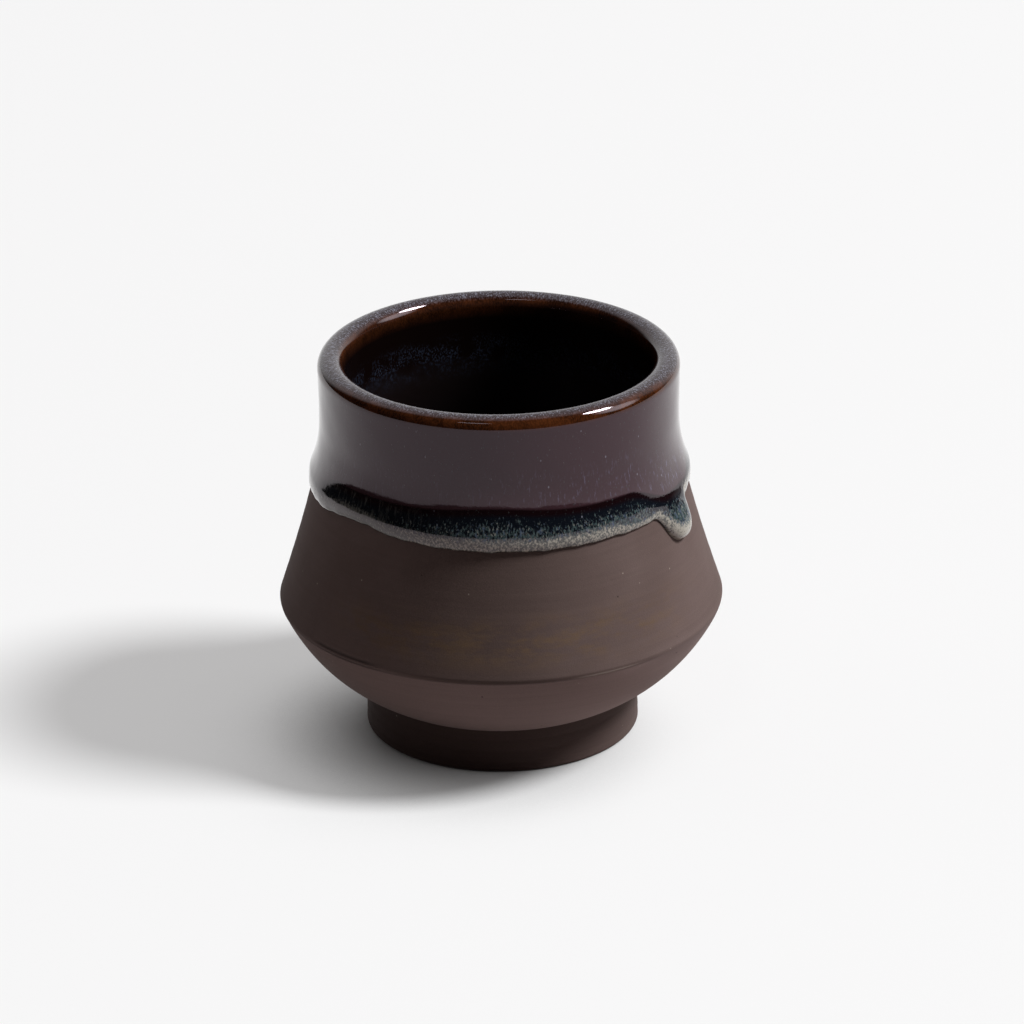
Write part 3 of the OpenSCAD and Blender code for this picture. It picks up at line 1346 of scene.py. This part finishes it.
@dataclass(frozen=True)
class CoatValues:
    """Values over the coat that the glaze's finish reads at its points.

    Turns are in degrees, heights and depths in millimetres, and spans over the lip in shares of
    the way from its outside to its inside.
    """

    section: CupSection
    edge: GlazeEdge
    no_fall: float = -10.0
    outside: float = -1.0
    lip_depth: float = 0.2
    drift_turns: tuple[Span, Span] = ((-15.0, 40.0), (110.0, 150.0))
    drift_heights: tuple[Span, Span] = ((0.0, 1.0), (2.5, 8.0))
    drift_least: float = 0.3
    crown_rise: Span = (0.26, 0.44)
    crown_fall: Span = (0.64, 0.8)
    crown_turns: Span = (50.0, 85.0)
    crown_shift: float = 0.18
    thin_rise: Span = (0.02, 0.07)
    thin_fall: Span = (0.75, 1.0)
    thin_loss: float = 0.5
    thin_depth: Span = (0.0, 1.6)
    margins: tuple[Hump, ...] = (Hump(48.0, 8.0, 0.8), Hump(RUN_TURN, 6.0, -0.25), Hump(-57.0, 16.0, -0.25))
    blooms: tuple[Hump, ...] = (Hump(-62.0, 38.0, -0.7, 4.0), Hump(55.0, 28.0, 0.3, 4.0))
    tip: Hump = Hump(RUN_TURN + 2.0, 8.5, 0.6, 4.0)
    tip_z: Span = (38.5, 41.5)

    def flow(self, turn: Grid, skin: GlazeSkin, over_lip: Grid, within: Grid) -> Grid:
        """Coordinates that run round the cup and along its section, for patterns that follow the coat.

        Formula: points of a cylinder of the collar's radius, whose height is the coat's height
        outside, goes on with the arc over the lip, and then with the depth inside.

        Args:
            turn: Angles of the columns.
            skin: The coat's grid.
            over_lip: Share of the way over the lip, by row.
            within: Depths below the lip inside.

        Returns:
            Coordinates of shape (columns, rows, 3), in millimetres.
        """
        s = self.section
        arc = math.pi * (s.lip_t / 2 + s.lip_coat) * np.clip(over_lip, 0.0, 1.0)
        return stand(s.collar_r, np.where(over_lip > 0, s.lip_z + arc + within, skin.height), turn[:, None])

    def gather(self, around: Grid, skin: GlazeSkin) -> Grid:
        """Distance above the coat's lower edge, stretched where the pale margin is narrow.

        Args:
            around: Angles of the columns, as a column of the grid.
            skin: The coat's grid.

        Returns:
            Distances of shape (columns, rows); from the lip on, the lip's height.
        """
        above = skin.gather[:, -1:] + skin.height[:, skin.waist + 1 :] - self.section.waist_z
        narrow = 1 + sum(margin.at(around) for margin in self.margins)
        gather = np.concatenate([skin.gather, above], axis=1) * narrow
        gather[:, skin.lip_foot + 1 :] = self.section.lip_z
        return gather

    def bloom(self, around: Grid, height: Grid) -> Grid:
        """How much strands show: 1, plus a hump for each bloom, and one at the run, doubled at its tip."""
        front = 1 + sum(bloom.at(around) for bloom in self.blooms)
        return front + self.tip.at(around) * (2 - ease(height, *self.tip_z))

    def at(self, turn: Grid, skin: GlazeSkin) -> dict[str, Grid]:
        """Works out every value.

        "gather" is the distance above the coat's lower edge, "fall" the height below the top of
        the pooled band, "bloom" how much of it shows strands, and "drift" where threads hang in
        the lower part of the collar, most of them at the right. "thin" is where the coat has run
        thin over the lip, "crown" the lip's top, "within" how far below the lip the inside is,
        below 0 outside, and "flow" the coordinates along the coat.

        Args:
            turn: Angles of the columns.
            skin: The coat's grid.

        Returns:
            Values of shape (columns, rows), or with three more for flow, by name.
        """
        rows = np.arange(skin.shape[1])
        around = wrapped(turn[:, None])
        top = self.edge.band_top(turn[:, None])
        outside = rows <= skin.lip_foot
        over_lip = (rows - skin.lip_foot) / (skin.lip_end - skin.lip_foot)
        depth = self.section.lip_z - skin.height
        over = np.where(over_lip > 0.5, depth * self.lip_depth, self.outside)
        within = np.where(rows > skin.lip_end, depth, over)
        right = self.drift_least + (1 - self.drift_least) * plateau(around, *self.drift_turns)
        shift = self.crown_shift * ease(np.abs(around), *self.crown_turns)
        thin = ease(over_lip, *self.thin_rise) * (1 - self.thin_loss * ease(over_lip, *self.thin_fall))
        values = {
            "gather": self.gather(around, skin),
            "fall": np.where(outside, top - skin.height, self.no_fall),
            "bloom": self.bloom(around, skin.height),
            "drift": plateau(skin.height - top, *self.drift_heights) * outside * right,
            "thin": thin * (1 - ease(within, *self.thin_depth)),
            "crown": ease(over_lip + shift, *self.crown_rise) * (1 - ease(over_lip, *self.crown_fall)),
            "within": within,
        }
        even = {name: np.broadcast_to(value, skin.shape) for name, value in values.items()}
        return even | {"flow": self.flow(turn, skin, over_lip, np.maximum(within, 0.0))}


@dataclass
class GlazeCoat:
    """The one coat of glaze, cut into liner, lip, collar, roll and run, which share their bounds."""

    section: CupSection
    edge: GlazeEdge
    coarse: float = 0.36
    fine: float = 0.1
    nose_w: float = 2.5
    run_on: float = 0.19
    left_on: Hump = Hump(-70.0, 9.0, 0.36)
    side_weight: float = 1.9
    near_columns: int = 60
    back_step: int = 4
    swell_points: int = 80
    nose_rows: int = 16
    swell_rows: int = 26
    collar_rows: int = 26
    lip_rows: int = 27
    inside_rows: int = 18
    waviness: float = 0.010
    ripples: tuple[tuple[float, float, float, float], ...] = (
        (1.0, 7.0, 0.35, 0.0),
        (1.0, 12.0, -0.5, 1.0),
        (0.7, 19.0, 0.8, 2.0),
    )
    ripple_fade: Span = (4.0, 3.0)
    lift_fade: float = 3.5
    drop_at: Hump = Hump(RUN_TURN + 1.0, 8.3, 0.98, 4.0)
    drop_z: Span = (38.0, 43.8)
    drop_nose: float = 0.5

    def turns(self) -> tuple[Grid, int]:
        """Angles of the columns: round the cup from the run's right side to its left, then across it.

        Returns:
            The angles in degrees, and how many belong to the roll, both ends of it included.
        """
        start, end = self.edge.sector
        roll = np.linspace(end, start + 360.0, round((360.0 - end + start) / self.coarse))
        run = np.linspace(start, end, round((end - start) / self.fine))[1:-1]
        return np.concatenate([roll, run + 360.0]), len(roll)

    def distance(self, turn: Grid, height: Grid, edge: Grid, side_weight: float = 1.0) -> Grid:
        """Least distance over the clay from each point to the glaze's lower edge.

        Formula: the smallest root of (weight x radius x angle apart)^2 + (height apart)^2 over the
        edge's points in the nearest columns.

        Args:
            turn: Angles of the columns.
            height: Heights of the points, of shape (columns, rows).
            edge: Height of the edge at each column.
            side_weight: How much a distance sideways counts against one in height.

        Returns:
            Distances of the same shape as the heights.
        """
        reach = np.arange(-self.near_columns, self.near_columns + 1)
        near = (np.arange(len(turn))[:, None] + reach) % len(turn)
        apart = np.radians(wrapped(turn[near] - turn[:, None]))
        along = (side_weight * apart * self.section.shoulder_r(edge)[:, None])[:, None, :]
        up = height[:, :, None] - edge[near][:, None, :]
        away = np.sqrt((along**2 + up**2).min(axis=2))
        away[:, 0] = 0.0
        return away

    def drop(self, turn: Grid, height: Grid) -> Grid:
        """Extra thickness of the run: a flat-topped hump in turn, times an ease from the roll down."""
        return (1 - ease(height, *self.drop_z)) * self.drop_at.at(wrapped(turn))

    def gathered(self, turn: Grid) -> tuple[Grid, Grid, Grid, Grid]:
        """The coat below the waist: swollen towards its lower edge and rounded off there.

        Formula: the thickness follows the curve from the waist out to the roll, moved up by the
        edge's lift, then grows a little more over the height that the lift has opened, most at the
        left end of the front. The run's drop is added, and both are multiplied by the root of
        1 - (1 - d / nose)^2, where d is the distance to the edge and the nose is wider in the run.

        Args:
            turn: Angles of the columns.

        Returns:
            Radius of the coat, radius of the clay, heights, and distances to the edge that count
            more sideways, each of shape (columns, rows), from the edge up to the waist.
        """
        s = self.section
        edge = self.edge.height(turn)
        swing = np.linspace(0.0, math.pi / 2, self.nose_rows)
        nose = self.nose_w * (1 - np.cos(swing)) / (s.waist_z - s.roll_z)
        share = np.concatenate([nose, np.linspace(nose[-1], 1.0, self.swell_rows)[1:]])
        height = edge[:, None] + (s.waist_z - edge[:, None]) * share
        clay = s.shoulder_r(height)
        top_z = s.roll_z + s.roll_h
        top = np.array([s.shoulder_r(np.array(top_z)) + s.roll_t, top_z])
        radius = s.collar_r + s.coat
        waist = np.array([radius, s.waist_z])
        swell = curve(waist, waist - [0.0, s.swell_drop], top, self.swell_points)[::-1]
        lift = self.edge.lift(turn)[:, None] * (1 - ease(height, s.waist_z - self.lift_fade, s.waist_z))
        thick = np.interp(height - lift, swell[:, 1], swell[:, 0] - s.shoulder_r(swell[:, 1]))
        run_on = self.run_on * (1 + self.left_on.at(wrapped(turn)))[:, None]
        thick = thick + run_on * np.clip(top_z - height + lift, 0.0, np.maximum(lift, 0.0))
        drop = self.drop(turn[:, None], height)
        away = self.distance(turn, height, edge)
        nosed = np.clip(away / (self.nose_w + self.drop_nose * drop), 0.0, 1.0)
        coat = clay + (thick + drop) * np.sqrt(1 - (1 - nosed) ** 2)
        return coat, clay, height, self.distance(turn, height, edge, self.side_weight)

    def waves(self, turn: Grid, height: Grid) -> Grid:
        """Low waves in the coat's thickness outside, a few millimetres long, that close round the cup.

        Formula: sines of whole numbers of waves round the cup (size, number, slant in height and
        phase), faded out towards the roll's nose and the lip.

        Args:
            turn: Angles of the columns, as a column of the grid.
            height: Heights of the points.

        Returns:
            Thicknesses of the same shape as the heights.
        """
        s = self.section
        angle = np.radians(turn)
        low, high = self.ripple_fade
        fade = plateau(height, (s.roll_z, s.roll_z + low), (s.lip_z - high, s.lip_z))
        waves = (size * np.sin(n * angle + slant * height + shift) for size, n, slant, shift in self.ripples)
        return self.waviness * sum(waves) * fade

    def skin(self, turn: Grid) -> GlazeSkin:
        """Works out the whole coat, and the clay under it, on one grid.

        Args:
            turn: Angles of the columns.

        Returns:
            The grid.
        """
        s = self.section
        coat_r, clay_r, low_z, gather = self.gathered(turn)
        counts = self.collar_rows, self.lip_rows, self.inside_rows
        over = [s.collar(s.coat, s.lip_coat, counts[0]), s.lip(s.lip_coat, counts[1])]
        over.append(s.inside(s.lip_coat, s.liner_coat, counts[2]))
        under = [s.collar(0.0, 0.0, counts[0]), s.lip(0.0, counts[1]), s.inside(0.0, 0.0, counts[2])]
        high, bare = (np.concatenate([part[1:] for part in parts]) for parts in (over, under))
        wide = np.ones((len(turn), 1))
        waist = low_z.shape[1] - 1
        lip_foot = waist + len(over[0]) - 1
        height = np.concatenate([low_z, wide * high[:, 1]], axis=1)
        radius = np.concatenate([coat_r, wide * high[:, 0]], axis=1)
        outside = np.arange(height.shape[1]) <= lip_foot
        radius = radius + self.waves(turn[:, None], height) * outside
        clay_z = np.concatenate([low_z, wide * bare[:, 1]], axis=1)
        clay_r = np.concatenate([clay_r, wide * bare[:, 0]], axis=1)
        points = stand(radius, height, turn[:, None])
        clay = stand(clay_r, clay_z, turn[:, None])
        return GlazeSkin(points, clay, height, gather, waist, lip_foot, lip_foot + len(over[1]) - 1)

    def build(self, finish: bpy.types.Material) -> list[bpy.types.Object]:
        """Makes the five pieces of glaze, puts their finish on and sets them in the frame.

        Each piece is a closed shell: the coat's face, the clay's face under it turned round, a
        strip along its top and bottom, and for the roll and the run a strip at each end.

        Args:
            finish: Material of the glaze.

        Returns:
            The pieces, from the liner to the run.
        """
        turn, roll_columns = self.turns()
        skin = self.skin(turn)
        normals = skin.normals()
        columns, rows = skin.shape
        points = np.concatenate([skin.points.reshape(-1, 3), skin.clay.reshape(-1, 3)])
        values = CoatValues(self.section, self.edge).at(turn, skin)
        flat = {name: v.reshape(columns * rows, -1) for name, v in values.items()}
        values = {name: np.concatenate([v, v]) for name, v in flat.items()}
        face = np.arange(columns * rows).reshape(columns, rows)
        face[:, -1] = face[0, -1]
        back = face + columns * rows
        back[:, 0] = face[:, 0]
        ring = np.r_[0:columns, 0]
        roll = np.arange(roll_columns)
        run = np.r_[roll_columns - 1 : columns, 0]
        pieces = [
            ("liner_coat", "liner_glaze", Slot.DARK, ring, skin.lip_end, rows - 1),
            ("lip_coat", "lip_glaze", Slot.AMBER, ring, skin.lip_foot, skin.lip_end),
            ("collar_coat", "collar_glaze", Slot.DARK, ring, skin.waist, skin.lip_foot),
            ("roll_coat", "glaze_roll", Slot.POOLED, roll, 0, skin.waist),
            ("run_coat", "glaze_run", Slot.POOLED, run, 0, skin.waist),
        ]
        made = []
        for name, node, slot, span, first, last in pieces:
            whole = span is ring
            out = face[span, first : last + 1]
            step = self.back_step if whole else 1
            into = back[np.ix_(span, np.r_[first:last:step, last])]
            patches = [Patch(out, normals[span, first : last + 1]), Patch(into, turned=True)]
            patches.append(Patch(np.stack([into[:, 0], out[:, 0]], axis=1)))
            patches.append(Patch(np.stack([out[:, -1], into[:, -1]], axis=1)))
            if not whole:
                patches.append(Patch(np.stack([into[0], out[0]])))
                patches.append(Patch(np.stack([out[-1], into[-1]])))
            kept, kept_values = used_only(points, patches, values)
            made.append(Piece(name, kept, patches, kept_values).seat(finish, node))
        return made


# Stage, light and camera


@dataclass(frozen=True)
class Lamp:
    """A soft lamp far from the cup, that faces it."""

    name: str
    towards: Colour
    distance: float
    width: float
    height: float
    level: float
    shows: bool = True

    def build(self) -> None:
        """Adds the lamp.

        Its power is pi^2 x level x distance^2, which gives a white surface that faces it a
        brightness of level.
        """
        data = bpy.data.lights.new(self.name, "AREA")
        data.shape = "ELLIPSE"
        data.size, data.size_y = self.width, self.height
        data.energy = math.pi**2 * self.level * self.distance**2
        lamp = bpy.data.objects.new(self.name, data)
        lamp.visible_glossy = self.shows
        bpy.context.scene.collection.objects.link(lamp)
        back = unit(np.array(self.towards))
        side = unit(np.cross([0.0, 0.0, 1.0], back))
        axes = np.stack([side, np.cross(back, side), back], axis=1)
        place = (back * self.distance).tolist()
        lamp.matrix_world = Matrix.Translation(place) @ Matrix(axes.tolist()).to_4x4()


@dataclass(frozen=True)
class Studio:
    """White floor, a soft key lamp at the right with a sheen beside it, weak fills, and a scrim behind."""

    floor_size: float = 6.0
    floor_drop: float = 0.02
    floor_colour: Colour = (0.868, 0.875, 0.88)
    bounce_colour: Colour = (0.32, 0.274, 0.264)
    floor_glow: float = 0.45
    glow_towards: Colour = (0.40, 0.38, 0.83)
    glow_low: float = 0.115
    glow_high: float = 0.73
    glow_reach: float = 0.2
    white: float = 0.965
    far_white: float = 1.38
    far_from: float = -50.0
    far_to: float = 90.0
    glow_samples: int = 16
    sheen_towards: Colour = (0.879, -0.077, 0.469)
    sheen_edge: float = 0.95
    sheen_full: float = 0.99
    sheen_level: float = 4.5
    scrim_towards: Colour = (0.07, 0.77, 0.634)
    scrim_edge: float = 0.44
    scrim_full: float = 0.68
    scrim_level: float = 0.88
    fill_towards: Colour = (0.0, 0.695, 0.719)
    fill_bound: float = 0.39
    fill_edge: float = 0.06
    fill_level: Colour = (0.15, 0.128, 0.125)
    dark_level: float = 0.015
    lamps: tuple[Lamp, ...] = (
        Lamp("key", (0.66, -0.08, 0.747), 8.0, 2.1, 2.1, 1.26),
        Lamp("fill", (-0.2, -0.5, 0.84), 1.8, 0.5, 0.12, 0.02),
        Lamp("card", (-0.92, 0.1, 0.37), 3.0, 1.6, 1.2, 0.03, shows=False),
    )

    def seen(self, tree: ShaderTree) -> tuple[Sock, Sock]:
        """Tells rays apart.

        Args:
            tree: Tree of the floor or of the world.

        Returns:
            1 for rays straight from the camera, and 1 for rays by way of a gloss or a glass.
        """
        camera = tree.node("ShaderNodeLightPath", output="Is Camera Ray")
        rays = camera.socket.node.outputs
        return camera, Sock(tree, rays["Is Glossy Ray"]).max(Sock(tree, rays["Is Transmission Ray"]))

    def floor(self) -> bpy.types.Object:
        """Makes the floor, which is duller in its bounce than to the camera and in gloss.

        To these it is white, lit in part by a lamp and in part by a glow that is dimmed where the
        cup shades it, and it is brighter in gloss towards its far end.

        Returns:
            The floor.
        """
        half = self.floor_size / 2
        mesh = bpy.data.meshes.new("floor")
        z = -self.floor_drop * MM
        rim = [(-half, -half, z), (half, -half, z), (half, half, z), (-half, half, z)]
        mesh.from_pydata(rim, [], [(0, 1, 2, 3)])
        floor = bpy.data.objects.new("floor", mesh)
        bpy.context.scene.collection.objects.link(floor)
        made = bpy.data.materials.new("floor")
        tree = ShaderTree(made)
        camera, gloss = self.seen(tree)
        lean = tree.node("ShaderNodeCombineXYZ", None, dict(enumerate(self.glow_towards)))
        reach = {"Normal": lean, "Distance": self.glow_reach}
        openness = tree.node("ShaderNodeAmbientOcclusion", {"samples": self.glow_samples}, reach, "AO")
        glowing = openness.step(self.glow_low, self.glow_high)
        sky = tree.mix(glowing, (0.0, 0.0, 0.0), (self.white,) * 3)
        far = tree.part(tree.place(), "Y").step(self.far_from, self.far_to)
        sky = tree.mix(gloss * far, sky, (self.far_white,) * 3)
        lit = tree.node("ShaderNodeBsdfDiffuse", None, {"Color": self.floor_colour})
        glow = tree.node("ShaderNodeEmission", None, {"Color": sky, "Strength": 1.0})
        bright = tree.node("ShaderNodeMixShader", None, {0: self.floor_glow, 1: lit, 2: glow})
        dull = tree.node("ShaderNodeBsdfDiffuse", None, {"Color": self.bounce_colour})
        shown = tree.node("ShaderNodeMixShader", None, {0: camera.max(gloss), 1: dull, 2: bright})
        tree.node("ShaderNodeOutputMaterial", None, {"Surface": shown})
        mesh.materials.append(made)
        return floor

    def world(self) -> None:
        """Makes the surroundings: a white scrim behind and overhead, and a dark room in front."""
        world = bpy.data.worlds.new("studio")
        bpy.context.scene.world = world
        tree = ShaderTree(world)
        ray = tree.node("ShaderNodeTexCoord", output="Generated")
        behind, overhead, beside = (
            tree.node("ShaderNodeVectorMath", {"operation": "DOT_PRODUCT"}, {0: ray, 1: way}, "Value")
            for way in (self.scrim_towards, self.fill_towards, self.sheen_towards)
        )
        camera, gloss = self.seen(tree)
        dark = (self.dark_level,) * 3
        scrim = tree.mix(behind.step(self.scrim_edge, self.scrim_full), dark, (self.scrim_level,) * 3)
        scrim = tree.mix(beside.step(self.sheen_edge, self.sheen_full), scrim, (self.sheen_level,) * 3)
        low, high = self.fill_bound - self.fill_edge, self.fill_bound + self.fill_edge
        fill = tree.mix(overhead.step(low, high), dark, self.fill_level)
        tint = tree.mix(camera, tree.mix(gloss, fill, scrim), (self.white,) * 3)
        shown = tree.node("ShaderNodeBackground", None, {"Color": tint, "Strength": 1.0})
        tree.node("ShaderNodeOutputWorld", None, {"Surface": shown})

    def light(self) -> None:
        """Adds the world and the lamps."""
        self.world()
        for lamp in self.lamps:
            lamp.build()


@dataclass(frozen=True)
class Viewpoint:
    """Camera at the photograph's angle, from its fitted place and axes."""

    place: Colour = (0.0, -0.8547, 0.40018)
    right: Colour = (0.99993, -0.00641, -0.00997)
    up: Colour = (0.01169, 0.39275, 0.91957)
    focal_pixels: float = 5900.0
    picture_pixels: float = 1024.0
    sensor: float = 36.0
    clip: Span = (0.01, 20.0)

    def build(self) -> bpy.types.Object:
        """Adds the camera and makes it the scene's own.

        Returns:
            The camera.
        """
        data = bpy.data.cameras.new("camera")
        data.sensor_width = self.sensor
        data.lens = self.focal_pixels / self.picture_pixels * self.sensor
        data.clip_start, data.clip_end = self.clip
        camera = bpy.data.objects.new("camera", data)
        bpy.context.scene.collection.objects.link(camera)
        right = unit(np.array(self.right))
        back = unit(np.cross(right, self.up))
        axes = np.stack([right, np.cross(back, right), back], axis=1)
        camera.matrix_world = Matrix.Translation(self.place) @ Matrix(axes.tolist()).to_4x4()
        bpy.context.scene.camera = camera
        return camera


def corners(box: Sequence[Any]) -> list[list[float]]:
    """A box's two corners as plain lists."""
    return [[float(v) for v in corner] for corner in box]


def main() -> None:
    """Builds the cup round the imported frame, then the studio."""
    logging.basicConfig(level=logging.INFO, format="%(name)s: %(message)s")
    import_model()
    bpy.context.scene.view_settings.view_transform = "Standard"
    Viewpoint().build()
    section = CupSection.from_frame()
    clay = Stoneware().material()
    glaze = IronGlaze().material()
    ThrownBody(section).build(clay)
    TurnedFoot(section).build(clay)
    GlazeCoat(section, GlazeEdge(section)).build(glaze)
    studio = Studio()
    studio.floor()
    studio.light()
    bpy.context.view_layer.update()


if __name__ == "__main__":
    main()
